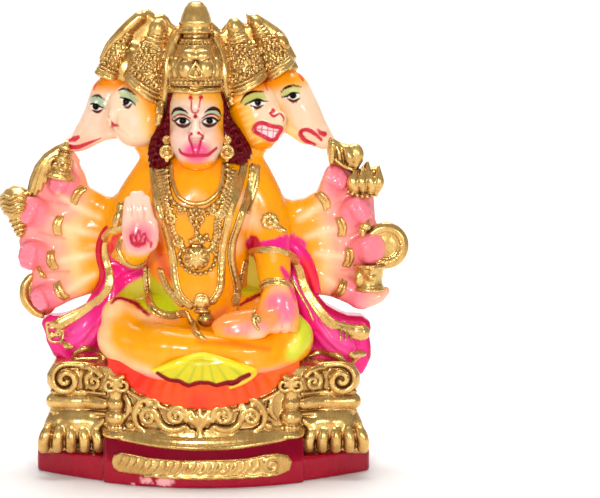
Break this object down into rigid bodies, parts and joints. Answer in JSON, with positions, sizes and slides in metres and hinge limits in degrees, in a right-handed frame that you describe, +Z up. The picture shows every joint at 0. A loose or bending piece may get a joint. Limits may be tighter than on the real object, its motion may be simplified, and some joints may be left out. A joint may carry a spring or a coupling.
{
  "type": "hanuman figure",
  "caption": "Hand-painted plaster seated Hanuman with side heads and fanned arms on a lion-footed throne and stepped plinth, cast as one.",
  "frame": {"origin": "centre of the bounding box on the underside of the plinth", "axes": "+Z up, the figure faces -Y, +X to the right of someone who looks at its face"},
  "size_m": [0.2144, 0.0908, 0.25],
  "materials": {
    "painted_plaster": "glossy enamel and gold paint on cast plaster"
  },
  "bodies": {
    "root": {"hanuman_figure": "painted_plaster"}
  },
  "joints": []
}
